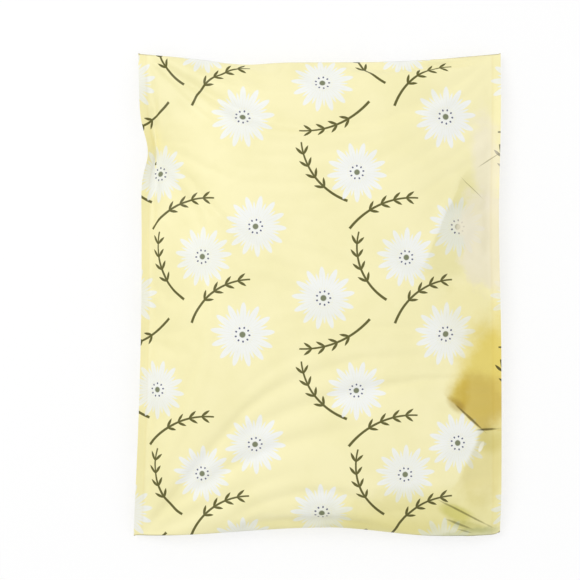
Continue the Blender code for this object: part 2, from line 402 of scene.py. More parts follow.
def fill_bag(film):
    """Pulls the flat film over its filling. The welds and both folds go to their places in the solid."""
    film.shape_key_add(name="flat")
    filled = film.shape_key_add(name="filled")
    for point, place in zip(filled.data, filled_places(film.data)):
        point.co = place
    for frame_number, value in ((1, 0.0), (FILLING_FRAMES, 1.0)):
        filled.value = value
        filled.keyframe_insert("value", frame=frame_number)
    held = film.vertex_groups.new(name="held")
    for vertex in film.data.vertices:
        on_weld = abs(vertex.co.x) > weld_edge - CLOSE
        on_fold = abs(vertex.co.y) > flat_length / 2 - CLOSE
        held.add([vertex.index], 1.0 if on_weld or on_fold else HOLD_OF_FILLING, "REPLACE")
    cloth = film.modifiers.new("film", "CLOTH")
    cloth.point_cache.frame_end = SETTLED_FRAME
    cloth.settings.quality = 6
    cloth.settings.mass = 0.1
    cloth.settings.tension_stiffness = 40
    cloth.settings.compression_stiffness = 40
    cloth.settings.shear_stiffness = 13
    cloth.settings.bending_stiffness = 3
    cloth.settings.tension_damping = 20
    cloth.settings.compression_damping = 20
    cloth.settings.shear_damping = 20
    cloth.settings.air_damping = 2
    cloth.settings.vertex_group_mass = held.name
    cloth.settings.use_pressure = True
    cloth.settings.uniform_pressure_force = 0.5
    cloth.settings.effector_weights.gravity = 0
    cloth.collision_settings.use_collision = False
    for frame_number in range(1, SETTLED_FRAME + 1):
        bpy.context.scene.frame_set(frame_number)


bag_in_the_making = add_object("flat_bag", flat_bag)
fill_bag(bag_in_the_making)
filled_bag = applied_mesh(bag_in_the_making, "filled_bag")
bpy.context.scene.frame_set(1)


# Flap edge.
# The flap is the end of the same web, turned over behind and stuck down with a strip of hot-melt. Its cut
# edge is a crisp line across the back, with the back panel standing off the floor just below it.
FLAP_EDGE_STEP = 0.4 * MM
FLAP_EDGE_WIDTH = 0.35 * MM
FLAP_STEP_REACH = 14 * MM


def lift_from_flap(mesh):
    """Cuts a narrow strip along the flap's free edge and raises the back panel from there on."""
    form = bmesh.new()
    form.from_mesh(mesh)
    flat = form.verts.layers.float_vector["flat"]
    front = form.faces.layers.float["front"]
    on_web = form.loops.layers.uv["print"]
    strip = []
    for edge in form.edges:
        ends = sorted(edge.verts, key=lambda vertex: vertex[flat].y)
        on_back = all(face[front] < 0.5 for face in edge.link_faces)
        at_flap = abs(ends[1][flat].y - flap_edge) < CLOSE
        if on_back and at_flap and ends[1][flat].y - ends[0][flat].y > CELL / 2:
            strip.append(edge)
    made = bmesh.ops.subdivide_edges(form, edges=strip, cuts=1, use_grid_fill=False)
    for vertex in [item for item in made["geom_inner"] if isinstance(item, bmesh.types.BMVert)]:
        others = [edge.other_vert(vertex) for edge in vertex.link_edges]
        at_edge = Vector((vertex[flat].x, flap_edge, 0))
        upper = min(others, key=lambda other: (other[flat] - at_edge).length)
        share = FLAP_EDGE_WIDTH / (upper[flat].y - vertex[flat].y)
        vertex.co = upper.co.lerp(vertex.co, share)
        vertex[flat] = upper[flat].lerp(vertex[flat], share)
        for loop in vertex.link_loops:
            loop[on_web].uv.y = -flat_length - vertex[flat].y
    for vertex in form.verts:
        below = flap_edge - vertex[flat].y
        inside = weld_edge - abs(vertex[flat].x)
        on_back = all(face[front] < 0.5 for face in vertex.link_faces)
        if on_back and inside > 0 and CLOSE / 2 < below < FLAP_STEP_REACH:
            rise = FLAP_EDGE_STEP * (1 - below / FLAP_STEP_REACH) * min(inside / FLAP_STEP_REACH, 1.0)
            vertex.co.z = max(vertex.co.z, 0.0) + rise
    form.to_mesh(mesh)
    form.free()


lift_from_flap(filled_bag)


# Film surface.
# Blown film is never quite flat: it keeps the fine crumples of being handled and packed. The back lies
# on the floor, which presses it flat.
CRUMPLE_HEIGHT = 0.22 * MM
CRUMPLE_SIZE = 16 * MM
FOLD_SHARPNESS = 0.6


def crumple_tree():
    """Rounds the film between its simulated points, crumples it along its normals and rests it."""
    tree, entry, leave = new_tree(
        "film_crumple",
        "GeometryNodeTree",
        [
            ("Geometry", "NodeSocketGeometry", None),
            ("Height", "NodeSocketFloat", None),
            ("Size", "NodeSocketFloat", None),
            ("Width", "NodeSocketFloat", None),
            ("Weld Width", "NodeSocketFloat", None),
            ("Fold Sharpness", "NodeSocketFloat", None),
            ("Film", "NodeSocketMaterial", None),
        ],
        [("Geometry", "NodeSocketGeometry")],
    )
    flat = new_node(
        tree, "GeometryNodeInputNamedAttribute", {"data_type": "FLOAT_VECTOR"}, Name="flat"
    )
    flat_place = new_node(tree, "ShaderNodeSeparateXYZ", Vector=flat.outputs[0]).outputs
    half_width = math_node(tree, "MULTIPLY", entry["Width"], 0.5)
    inside = math_node(tree, "SUBTRACT", half_width, math_node(tree, "ABSOLUTE", flat_place["X"]))
    on_weld_rim = math_node(tree, "LESS_THAN", inside, RIM_SPREAD)
    rim = new_node(tree, "GeometryNodeInputNamedAttribute", Name="rim").outputs[0]
    on_rim = math_node(tree, "GREATER_THAN", rim, 0.9)
    on_fold = math_node(tree, "SUBTRACT", on_rim, on_weld_rim)
    rounded = new_node(
        tree,
        "GeometryNodeSubdivisionSurface",
        Mesh=entry["Geometry"],
        Level=1,
        Edge_Crease=math_node(tree, "MULTIPLY_ADD", on_fold, entry["Fold Sharpness"], on_weld_rim),
    ).outputs[0]
    front = new_node(tree, "GeometryNodeInputNamedAttribute", Name="front")
    noise = new_node(
        tree,
        "ShaderNodeTexNoise",
        {"noise_dimensions": "4D", "noise_type": "RIDGED_MULTIFRACTAL"},
        Vector=flat.outputs[0],
        W=front.outputs[0],
        Scale=math_node(tree, "DIVIDE", 1.0, entry["Size"]),
        Detail=2.0,
        Roughness=0.45,
    )
    two_welds = math_node(tree, "MULTIPLY", entry["Weld Width"], 2.0)
    off_weld = ramp(tree, inside, entry["Weld Width"], two_welds)
    height = math_node(
        tree,
        "MULTIPLY",
        math_node(tree, "SUBTRACT", noise.outputs[0], 0.5),
        math_node(tree, "MULTIPLY", entry["Height"], off_weld),
    )
    outwards = new_node(
        tree,
        "ShaderNodeVectorMath",
        {"operation": "SCALE"},
        Vector=tree.nodes.new("GeometryNodeInputNormal").outputs[0],
        Scale=height,
    ).outputs[0]
    crumpled = new_node(tree, "GeometryNodeSetPosition", Geometry=rounded, Offset=outwards).outputs[0]
    place = tree.nodes.new("GeometryNodeInputPosition").outputs[0]
    off_floor = vector_node(tree, "MAXIMUM", place, (-1.0, -1.0, 0.0))["Vector"]
    rested = new_node(tree, "GeometryNodeSetPosition", Geometry=crumpled, Position=off_floor).outputs[0]
    smooth = new_node(tree, "GeometryNodeSetShadeSmooth", Geometry=rested).outputs[0]
    sharp = new_node(
        tree,
        "GeometryNodeSetShadeSmooth",
        {"domain": "EDGE"},
        Geometry=smooth,
        Selection=on_weld_rim,
        Shade_Smooth=False,
    ).outputs[0]
    end_tree(tree, sharp, entry["Film"], leave)
    return tree


film_mesh = run_tree(
    "film",
    crumple_tree(),
    {
        "Height": CRUMPLE_HEIGHT,
        "Size": CRUMPLE_SIZE,
        "Width": flat_width,
        "Weld Width": WELD_WIDTH,
        "Fold Sharpness": FOLD_SHARPNESS,
        "Film": film_finish,
    },
    filled_bag,
)


# Creases.
# Film that has been bent sharply keeps the line for good. The hard creases of the front run out of the
# kink in the weld, along the facet on the right, and round the stained corner.
CREASES = [
    # Each is a line's start, middle and end, its half width, and its height, below 0 in a valley,
    # all in millimetres. First the facet on the right
    ((101, 86), (89, 66), (71, 18), 5, 0.9),
    ((71, 18), (74, -16), (80, -62), 5, 0.6),
    # Out of the kink in the left weld
    ((-112, 95), (-97, 86), (-80, 74), 2.4, -0.8),
    ((-112, 92), (-101, 76), (-92, 58), 2.2, -0.6),
    ((-112, 104), (-98, 106), (-82, 103), 2.4, -0.6),
    # Beside the left weld, above and below the kink
    ((-113, 150), (-110, 128), (-111, 112), 2.4, -0.6),
    ((-112, 84), (-108, 70), (-109, 52), 2.2, -0.7),
    # The stained place and the corner below it
    ((98, -80), (106, -87), (114, -94), 2.2, -0.8),
    ((110, -94), (118, -93), (125, -94), 1.8, -1.0),
    ((86, -143), (101, -149), (118, -160), 2.2, -0.9),
    ((89, -154), (98, -158), (107, -161), 2.0, -0.7),
    ((114, -95), (105, -117), (94, -136), 3.0, 0.7),
    # Bumps of the clothing at the bottom fold
    ((-20, -145), (-12, -144), (-4, -145), 6, 0.7),
    ((12, -148), (20, -147), (28, -148), 6, 0.8),
    ((30, -152), (56, -149), (84, -142), 4, -0.8),
    # From the top corners
    ((-120, 160), (-106, 146), (-90, 134), 2.6, -0.6),
    ((120, 160), (108, 148), (94, 138), 2.6, -0.5),
]
CREASE_FADE = 0.2
CREASE_STEPS = 12
# How many half widths away a crease can still be felt
CREASE_REACH = 5
RIM_REACH = 20 * MM
THIN_GAP = PLY_GAP / 3


def smoothed(share):
    share = min(max(share, 0.0), 1.0)
    return share * share * (3 - 2 * share)


def crease_line(start, middle, end):
    """Places along the smooth curve through a crease's three places, in metres."""
    start, middle, end = (Vector((*place, 0)) * MM for place in (start, middle, end))
    pulls = (start + 2 * middle) / 3, (end + 2 * middle) / 3
    return interpolate_bezier(start, *pulls, end, CREASE_STEPS)


def crease_height(place, line, half_width, height):
    """Height of one crease, a sharp ridge or valley that fades towards both ends of its line."""
    nearest = []
    for step, (start, end) in enumerate(zip(line, line[1:])):
        point, share = intersect_point_line(place, start, end)
        share = min(max(share, 0.0), 1.0)
        nearest.append(((start.lerp(end, share) - place).length, (step + share) / (len(line) - 1)))
    distance, share = min(nearest)
    fade = smoothed(share / CREASE_FADE) * smoothed((1 - share) / CREASE_FADE)
    return height * fade * math.exp(-distance / half_width)


def front_points(mesh):
    """The numbers of the points that the front's faces use, the rims among them."""
    sides = mesh.attributes["front"].data
    return {point for face in mesh.polygons if sides[face.index].value > 0.5 for point in face.vertices}


def press_creases(mesh):
    """Presses the creases into the front, on the filled bag's plan. Near a rim the back goes with it."""
    front = front_points(mesh)
    movable = []
    for vertex, flat in zip(mesh.vertices, mesh.attributes["flat"].data):
        inside = min(flat_width / 2 - abs(flat.vector.x), flat_length / 2 - abs(flat.vector.y))
        share = 1.0 if vertex.index in front else 1 - smoothed(inside / RIM_REACH)
        if share:
            movable.append((vertex, Vector((vertex.co.x, vertex.co.y, 0)), share))
    for *places, half_width, height in CREASES:
        line = crease_line(*places)
        reach = CREASE_REACH * half_width * MM
        left, right = (way(point.x for point in line) for way in (min, max))
        down, up = (way(point.y for point in line) for way in (min, max))
        for vertex, place, share in movable:
            if left - reach < place.x < right + reach and down - reach < place.y < up + reach:
                vertex.co.z += share * crease_height(place, line, half_width * MM, height * MM)
    mesh.update()


def part_plies(mesh):
    """Keeps the back below the front in the thin corners, where a crease presses the two together."""
    front = front_points(mesh)
    panel = [face.vertices for face in mesh.polygons if front.issuperset(face.vertices)]
    surface = BVHTree.FromPolygons([vertex.co for vertex in mesh.vertices], panel)
    for vertex in mesh.vertices:
        if vertex.index not in front:
            hit = surface.ray_cast(Vector((vertex.co.x, vertex.co.y, -1)), Vector((0, 0, 1)))[0]
            if hit and vertex.co.z > hit.z - THIN_GAP:
                vertex.co.z = hit.z - THIN_GAP
    mesh.update()


press_creases(film_mesh)
part_plies(film_mesh)
mailer = add_object("filled_mailer", film_mesh)
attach(mailer, "root")
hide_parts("mailer")


# Printed film.
# The outer layer is pale yellow, printed all over with daisies and leafy sprigs before the bag is made.
# The print follows the film, so it shortens where the film rolls over the ends and carries on behind.
PRINT_REPEAT = (140 * MM, 150 * MM, 0.0)
# Each is x, y, turn in degrees, and the radius of the daisy or of the stem's bend.
DAISIES = [
    (3, -2, 10, 21.5), (60, 26, 33, 20.5), (-43, 47, 52, 21), (26, -66, 21, 20.5), (-52, -27, 5, 22)
]
SPRIGS = [
    (29, 17, 112, 42), (42, 62, 24, 55), (-2, 80, 128, 48), (13, -32, 203, 60), (-72, 2, 36, 45)
]
PETALS = 13.0
DOTS = 9.0
# Each row is its turn in half pitches, and its middle, half length and half width in daisy radii.
OUTER_PETALS = (0.0, 0.64, 0.36, 0.098)
INNER_PETALS = (1.0, 0.52, 0.29, 0.040)
PETAL_VEINS = (0.0, 0.58, 0.24, 0.010)
RING_OF_DOTS = (0.5, 0.215, 0.034, 0.028)
DISC_RADIUS = 0.31
EYE_RADIUS = 0.095
# Half the width of a row's soft edge is a share of the distance from its petals' middles.
OUTER_EDGE = 0.08
INNER_EDGE = 0.14
INNER_LINE = 0.10
VEIN_EDGE = 0.4
DOT_EDGE = 0.25
DISC_EDGE = 0.03
EYE_EDGE = 0.02
SPRIG_LENGTH = 54 * MM
STEM_WIDTH = 1.5 * MM
STEM_TAPER = -0.5
LEAF_PITCH = SPRIG_LENGTH / 6
BARE_PITCHES = 2.0
LEAF_LENGTH = 7.5 * MM
LEAF_WIDTH = 1.9 * MM
LEAF_LEAN = math.radians(36)
STEM_END_EDGE = 0.3 * MM
STEM_EDGE = 0.15 * MM
LEAF_EDGE = 0.12 * MM
WHITE_COVER = 0.93
LINE_COVER = 0.35
FILM_YELLOW = (0.955, 0.893, 0.52, 1.0)
PETAL_WHITE = (0.905, 0.925, 0.915, 1.0)
PETAL_LINE = (0.84, 0.82, 0.62, 1.0)
EYE_SAGE = (0.20, 0.225, 0.13, 1.0)
EYE_SLATE = (0.115, 0.12, 0.21, 1.0)
STEM_OLIVE = (0.115, 0.108, 0.018, 1.0)


def fading(tree, value, edge, softness):
    """1 below an edge and 0 above it, with a soft step between."""
    low = math_node(tree, "SUBTRACT", edge, softness)
    high = math_node(tree, "ADD", edge, softness)
    return ramp(tree, value, low, high, 1.0, 0.0)


def turned_back(tree, place, turn):
    """A place as it is on a motif or a mark that has been turned."""
    back = math_node(tree, "MULTIPLY", turn, -1.0)
    return new_node(
        tree, "ShaderNodeVectorRotate", {"rotation_type": "Z_AXIS"}, Vector=place, Angle=back
    ).outputs[0]


def motif_place(tree, entry):
    """A motif's own plan place, repeated with the print and turned about its middle."""
    away = vector_node(tree, "SUBTRACT", entry["Place"], entry["Middle"])["Vector"]
    half = vector_node(tree, "MULTIPLY", entry["Repeat"], (0.5, 0.5, 0.5))["Vector"]
    minus_half = vector_node(tree, "MULTIPLY", entry["Repeat"], (-0.5, -0.5, -0.5))["Vector"]
    wrapped = vector_node(tree, "WRAP", away, half, minus_half)["Vector"]
    turned = turned_back(tree, wrapped, entry["Turn"])
    return new_node(tree, "ShaderNodeSeparateXYZ", Vector=turned).outputs


def radius_of(tree, x, y):
    square = math_node(tree, "MULTIPLY_ADD", x, x, math_node(tree, "MULTIPLY", y, y))
    return math_node(tree, "SQRT", square)


MOTIF_INPUTS = [
    ("Place", "NodeSocketVector", None),
    ("Middle", "NodeSocketVector", None),
    ("Repeat", "NodeSocketVector", PRINT_REPEAT),
    ("Turn", "NodeSocketFloat", None),
]


def daisy_tree():
    """Two rows of slim petals round a dotted eye, all in shares of the radius."""
    tree, entry, leave = new_tree(
        "daisy",
        "ShaderNodeTree",
        [
            *MOTIF_INPUTS,
            ("Radius", "NodeSocketFloat", None),
            ("Petals", "NodeSocketFloat", PETALS),
            ("Dots", "NodeSocketFloat", DOTS),
        ],
        [(name, "NodeSocketFloat") for name in ("White", "Line", "Eye", "Dots")],
    )
    place = motif_place(tree, entry)
    x = math_node(tree, "DIVIDE", place["X"], entry["Radius"])
    y = math_node(tree, "DIVIDE", place["Y"], entry["Radius"])
    out = radius_of(tree, x, y)
    angle = math_node(tree, "ARCTAN2", y, x)

    def petal_row(number, start, middle, half_length, half_width):
        """Distance of each place from a ring of ellipses, 1 on their outlines."""
        half_turn = math_node(tree, "DIVIDE", math.pi, number)
        shifted = math_node(tree, "MULTIPLY_ADD", half_turn, start, angle)
        from_petal = math_node(
            tree, "WRAP", shifted, half_turn, math_node(tree, "MULTIPLY", half_turn, -1.0)
        )
        along = math_node(tree, "MULTIPLY", out, math_node(tree, "COSINE", from_petal))
        beside = math_node(tree, "MULTIPLY", out, math_node(tree, "SINE", from_petal))
        from_middle = math_node(tree, "SUBTRACT", along, middle)
        return radius_of(
            tree,
            math_node(tree, "DIVIDE", from_middle, half_length),
            math_node(tree, "DIVIDE", beside, half_width),
        )

    outer = petal_row(entry["Petals"], *OUTER_PETALS)
    inner = petal_row(entry["Petals"], *INNER_PETALS)
    vein = petal_row(entry["Petals"], *PETAL_VEINS)
    dots = petal_row(entry["Dots"], *RING_OF_DOTS)
    rim = math_node(tree, "ABSOLUTE", math_node(tree, "SUBTRACT", inner, 1.0))

    outer_white = fading(tree, outer, 1.0, OUTER_EDGE)
    inner_white = fading(tree, inner, 1.0, INNER_EDGE)
    petals = math_node(tree, "MAXIMUM", outer_white, inner_white)
    white = math_node(tree, "MAXIMUM", petals, fading(tree, out, DISC_RADIUS, DISC_EDGE))
    rim_line = fading(tree, rim, INNER_LINE, OUTER_EDGE)
    line = math_node(tree, "MAXIMUM", rim_line, fading(tree, vein, 1.0, VEIN_EDGE))
    eye = fading(tree, out, EYE_RADIUS, EYE_EDGE)
    for socket, value in zip(leave, (white, line, eye, fading(tree, dots, 1.0, DOT_EDGE))):
        tree.links.new(value, socket)
    return tree


def sprig_tree():
    """A curved stem with pairs of slim leaves that lean towards its tip."""
    tree, entry, leave = new_tree(
        "sprig",
        "ShaderNodeTree",
        [
            *MOTIF_INPUTS,
            ("Bend Radius", "NodeSocketFloat", None),
            ("Length", "NodeSocketFloat", SPRIG_LENGTH),
            ("Stem Width", "NodeSocketFloat", STEM_WIDTH),
            ("Leaf Pitch", "NodeSocketFloat", LEAF_PITCH),
            ("Leaf Length", "NodeSocketFloat", LEAF_LENGTH),
            ("Leaf Width", "NodeSocketFloat", LEAF_WIDTH),
            ("Leaf Lean", "NodeSocketFloat", LEAF_LEAN),
        ],
        [("Ink", "NodeSocketFloat")],
    )
    place = motif_place(tree, entry)
    y = math_node(tree, "ADD", place["Y"], entry["Bend Radius"])
    off_stem = math_node(tree, "SUBTRACT", radius_of(tree, place["X"], y), entry["Bend Radius"])
    beside = math_node(tree, "ABSOLUTE", off_stem)
    angle = math_node(tree, "ARCTAN2", place["X"], y)
    along = math_node(tree, "MULTIPLY", angle, entry["Bend Radius"])
    half_length = math_node(tree, "MULTIPLY", entry["Length"], 0.5)
    on_length = fading(tree, math_node(tree, "ABSOLUTE", along), half_length, STEM_END_EDGE)
    grown = math_node(tree, "DIVIDE", along, entry["Length"])
    taper = math_node(tree, "MULTIPLY_ADD", grown, STEM_TAPER, 1.0)
    straight_half = math_node(tree, "MULTIPLY", entry["Stem Width"], 0.5)
    half_stem = math_node(tree, "MULTIPLY", straight_half, taper)
    stem = math_node(tree, "MULTIPLY", fading(tree, beside, half_stem, STEM_EDGE), on_length)

    from_joint = math_node(tree, "WRAP", along, entry["Leaf Pitch"], 0.0)
    cosine = math_node(tree, "COSINE", entry["Leaf Lean"])
    sine = math_node(tree, "SINE", entry["Leaf Lean"])
    up_leaf = math_node(
        tree, "MULTIPLY_ADD", from_joint, cosine, math_node(tree, "MULTIPLY", beside, sine)
    )
    across_leaf = math_node(
        tree,
        "SUBTRACT",
        math_node(tree, "MULTIPLY", beside, cosine),
        math_node(tree, "MULTIPLY", from_joint, sine),
    )
    off_leaf = math_node(tree, "ABSOLUTE", across_leaf)
    share = math_node(tree, "DIVIDE", up_leaf, entry["Leaf Length"])
    swell = math_node(tree, "MULTIPLY", share, math_node(tree, "SUBTRACT", 1.0, share))
    widest = math_node(tree, "MULTIPLY", swell, 2.0)
    half_leaf = math_node(tree, "MULTIPLY", widest, entry["Leaf Width"])
    leaf = fading(tree, off_leaf, half_leaf, LEAF_EDGE)
    bare = math_node(tree, "MULTIPLY", entry["Leaf Pitch"], BARE_PITCHES)
    leafy = math_node(tree, "GREATER_THAN", along, math_node(tree, "SUBTRACT", bare, half_length))
    leaf = math_node(tree, "MULTIPLY", math_node(tree, "MULTIPLY", leaf, leafy), on_length)
    tree.links.new(math_node(tree, "MAXIMUM", stem, leaf), leave[0])
    return tree


def place_motif(tree, group, film_place, x, y, turn, **sizes):
    motif = new_node(
        tree,
        "ShaderNodeGroup",
        {"node_tree": group},
        Place=film_place,
        Middle=(x * MM, y * MM, 0.0),
        Turn=math.radians(turn),
        **sizes,
    )
    return motif.outputs


def blended(tree, share, under, over, way="MIX"):
    """One colour over another as far as the share says, or multiplied with it."""
    mixed = new_node(tree, "ShaderNodeMix", {"data_type": "RGBA", "blend_type": way})
    place_input(tree, mixed.inputs[0], share)
    place_input(tree, mixed.inputs[6], under)
    place_input(tree, mixed.inputs[7], over)
    return mixed.outputs[2]


film_finish.use_nodes = True
film_tree = film_finish.node_tree
film_shader = film_tree.nodes["Principled BSDF"]
film_place = new_node(film_tree, "ShaderNodeUVMap", {"uv_map": "print"}).outputs[0]

daisy, sprig = daisy_tree(), sprig_tree()
ink = 0.0
for x, y, turn, bend in SPRIGS:
    drawn = place_motif(film_tree, sprig, film_place, x, y, turn, Bend_Radius=bend * MM)
    ink = math_node(film_tree, "MAXIMUM", ink, drawn["Ink"])
masks = dict.fromkeys(("White", "Line", "Eye", "Dots"), 0.0)
for x, y, turn, radius in DAISIES:
    drawn = place_motif(film_tree, daisy, film_place, x, y, turn, Radius=radius * MM)
    for name, mask in masks.items():
        masks[name] = math_node(film_tree, "MAXIMUM", mask, drawn[name])
white = math_node(film_tree, "MULTIPLY", masks["White"], WHITE_COVER)
on_white = math_node(film_tree, "MULTIPLY", masks["Line"], masks["White"])
line = math_node(film_tree, "MULTIPLY", on_white, LINE_COVER)
colour = blended(film_tree, ink, FILM_YELLOW, STEM_OLIVE)
colour = blended(film_tree, white, colour, PETAL_WHITE)
colour = blended(film_tree, line, colour, PETAL_LINE)
colour = blended(film_tree, masks["Eye"], colour, EYE_SAGE)
colour = blended(film_tree, masks["Dots"], colour, EYE_SLATE)


# Wear, stains and painted shade.
# This bag has been used. On the right of its front the print is scuffed pale and a brown stain ends at a
# crease. Painted shade darkens the facets on the right, the top-left corner, the left side, the band along
# the bottom and the hollows of the bottom corner, and a painted glint stands in for a highlight. Dark
# lines are painted along the creases. Places are on the flat film.
# Painted shade: the two facets on the right slope away from the light, so their colour is darkened.
PAINTED_FACET_SHADE = [
    # Each mark is: x and y from the film's middle, half width, half height, turn, edge softness,
    # strength, tint or colour, and the lines where it ends. The mark lies on the right of these.
    (98, 46, 20, 41, -26, 0.35, 0.62, (0.822, 0.816, 0.662), ((75, 27), (103, 86), 0.9)),
    (114, -117, 20, 26, 6, 0.45, 0.70, (0.800, 0.755, 0.520), ((93, -137), (114, -95), 1.8)),
]
SCUFFS_AND_GLINT = [
    (119, 92, 11, 34, 6, 0.40, 0.50, (0.915, 0.850, 0.740)),
    (119, 36, 20, 36, 10, 0.20, 0.80, (0.890, 0.825, 0.640)),
    (106, -168, 21, 4.5, 5, 0.30, 0.70, (0.672, 0.687, 0.440)),
    # Painted highlight: a small white glint on the stained corner.
    (114, -106, 1.5, 4.0, -24, 0.25, 0.95, (0.985, 0.970, 0.900)),
]
# Painted shade: the top-left corner, the band along the bottom where the film rolls away, the left side,
# the right side and the hollows of the bottom-right creases are darkened. The last patch, under the
# stain's crease, is stain and painted shade.
PAINTED_SHADES = [
    (-104, 146, 24, 22, 20, 0.50, 0.60, (0.921, 0.928, 0.909)),
    (70, -154, 66, 17, 3, 0.50, 0.60, (0.810, 0.790, 0.520)),
    (20, -166, 90, 9, 1, 0.60, 0.80, (0.900, 0.890, 0.760)),
    (-100, 10, 34, 170, 0, 0.60, 0.50, (0.970, 0.965, 0.920)),
    (106, -14, 20, 24, 0, 0.60, 0.35, (0.884, 0.849, 0.600)),
    (97, -152, 12, 5, -22, 0.40, 0.60, (0.660, 0.670, 0.170)),
    (107, -162, 14, 3.5, -14, 0.40, 0.60, (0.660, 0.680, 0.420)),
    (122, -101, 10, 9, 0, 0.50, 0.90, (0.840, 0.815, 0.600)),
]
STAIN_LINES = [((114, -94), (98, -79), 1.0), ((130, -96), (112, -94.2), 0.8)]
STAIN = [
    (118, -60, 21, 43, -14, 0.45, 1.00, (0.868, 0.764, 0.330), *STAIN_LINES),
    (112, -76, 21, 21, -16, 0.36, 1.00, (0.805, 0.745, 0.620), *STAIN_LINES),
    (98.5, -71, 6, 12, -14, 0.50, 0.90, (0.920, 0.850, 0.380), *STAIN_LINES),
    (96, -77, 6.5, 3.6, -38, 0.55, 0.80, (0.660, 0.580, 0.380)),
]
# Dark lines are painted along the creases of the bottom corner, round the stain and at the top right.
DARK_CREASE_LINES = [
    # Each is: x and y, half length, half width, turn, strength.
    (102, -152, 18, 0.7, -28, 0.7),
    (99, -160, 9, 0.7, -22, 0.6),
    (103, -165, 5, 0.5, -16, 0.5),
    (106, -86, 12, 0.7, -42, 0.8),
    (119, -94, 7, 0.8, 2, 0.9),
    (108, 74, 9, 0.3, -42, 0.5),
    (121, 94, 8, 0.35, 32, 0.5),
]
CREASE_LINE_COLOUR = (0.195, 0.186, 0.066)
CREASE_LINE_SOFTNESS = 0.5
SOFT_WOBBLE = 0.7
SCUFF_AND_GLINT_WOBBLE = 1.4
CREASE_LINE_WOBBLE = 1.2
WOBBLE_SIZE = 14 * MM
EDGE_WANDER = 4 * MM


def tinted(tree, share, colour, tint):
    return blended(tree, share, colour, tint, "MULTIPLY")


def blot_tree():
    """A soft oval patch with an uneven edge."""
    tree, entry, leave = new_tree(
        "blot",
        "ShaderNodeTree",
        [
            ("Place", "NodeSocketVector", None),
            ("Middle", "NodeSocketVector", None),
            ("Half Size", "NodeSocketVector", None),
            ("Turn", "NodeSocketFloat", None),
            ("Softness", "NodeSocketFloat", None),
            ("Wobble", "NodeSocketFloat", None),
            ("Wobble Size", "NodeSocketFloat", WOBBLE_SIZE),
        ],
        [("Mask", "NodeSocketFloat")],
    )
    away = vector_node(tree, "SUBTRACT", entry["Place"], entry["Middle"])["Vector"]
    turned = turned_back(tree, away, entry["Turn"])
    share = vector_node(tree, "DIVIDE", turned, entry["Half Size"])["Vector"]
    distance = vector_node(tree, "LENGTH", share)["Value"]
    uneven = new_node(
        tree,
        "ShaderNodeTexNoise",
        Vector=entry["Place"],
        Scale=math_node(tree, "DIVIDE", 1.0, entry["Wobble Size"]),
        Detail=4.0,
        Roughness=0.6,
    ).outputs[0]
    uneven = math_node(tree, "SUBTRACT", uneven, 0.5)
    shifted = math_node(tree, "MULTIPLY_ADD", uneven, entry["Wobble"], distance)
    tree.links.new(fading(tree, shifted, 1.0, entry["Softness"]), leave[0])
    return tree


def film_noise(tree, film_place, size, detail, kind="FBM"):
    """Noise on the film, around 0.5."""
    return new_node(
        tree,
        "ShaderNodeTexNoise",
        {"noise_type": kind},
        Vector=film_place,
        Scale=1 / size,
        Detail=detail,
        Roughness=0.55,
    ).outputs[0]


def blot_on(tree, group, film_place, blot, wobble=SOFT_WOBBLE):
    """The mask of one blot, with its strength, and its colour."""
    x, y, half_width, half_height, turn, softness, strength, tint, *lines = blot
    made = new_node(
        tree,
        "ShaderNodeGroup",
        {"node_tree": group},
        Place=film_place,
        Middle=(x * MM, y * MM, 0.0),
        Half_Size=(half_width * MM, half_height * MM, 1.0),
        Turn=math.radians(turn),
        Softness=softness,
        Wobble=wobble,
    )
    mask = math_node(tree, "MULTIPLY", made.outputs[0], strength)
    for line in lines:
        mask = math_node(tree, "MULTIPLY", mask, beside_line(tree, film_place, line))
    return mask, (*tint, 1.0)


def beside_line(tree, film_place, line):
    """1 on the right of a line through two places, seen along it, and 0 on its left."""
    (start_x, start_y), (end_x, end_y), softness = line
    run = Vector((end_x - start_x, end_y - start_y)).normalized()
    offset = (start_x * run.y - start_y * run.x) * MM
    across = vector_node(tree, "DOT_PRODUCT", film_place, (-run.y, run.x, 0.0))["Value"]
    wander = math_node(tree, "SUBTRACT", film_noise(tree, film_place, WOBBLE_SIZE, 3.0), 0.5)
    wandering = math_node(tree, "MULTIPLY_ADD", wander, EDGE_WANDER, across)
    return fading(tree, wandering, -offset, softness * MM)


blot = blot_tree()
for mark in PAINTED_FACET_SHADE:
    share, tint = blot_on(film_tree, blot, film_place, mark)
    colour = tinted(film_tree, share, colour, tint)
for mark in SCUFFS_AND_GLINT:
    share, tint = blot_on(film_tree, blot, film_place, mark, SCUFF_AND_GLINT_WOBBLE)
    colour = blended(film_tree, share, colour, tint)
for mark in PAINTED_SHADES + STAIN:
    share, tint = blot_on(film_tree, blot, film_place, mark)
    colour = tinted(film_tree, share, colour, tint)
for x, y, half_length, half_width, turn, strength in DARK_CREASE_LINES:
    slim = (x, y, half_length, half_width, turn, CREASE_LINE_SOFTNESS, strength, CREASE_LINE_COLOUR)
    share, tint = blot_on(film_tree, blot, film_place, slim, CREASE_LINE_WOBBLE)
    colour = tinted(film_tree, share, colour, tint)


# Film finish.
# The outer layer is a soft-gloss polyethylene. Its colour and gloss vary a little, the welds are a shade
# deeper where two plies are fused, and fine crinkles from handling catch the light.
WELD_TINT = (0.99, 0.98, 0.93, 1.0)
WELD_SOFTNESS = 0.4 * MM
WELD_EDGE_SHADE = (0.975, 0.96, 0.93, 1.0)
WELD_EDGE_WIDTH = 0.8 * MM
MOTTLE = (0.965, 0.965, 0.93, 1.0)
MOTTLE_SIZE = 45 * MM
MOTTLE_LOW = 0.38
MOTTLE_HIGH = 0.64
GLOSS_SIZE = 22 * MM
SMOOTHEST = 0.31
ROUGHNESS_SPREAD = 0.22
CRINKLE_SIZE = 5 * MM
CRINKLE_DEPTH = 0.035 * MM

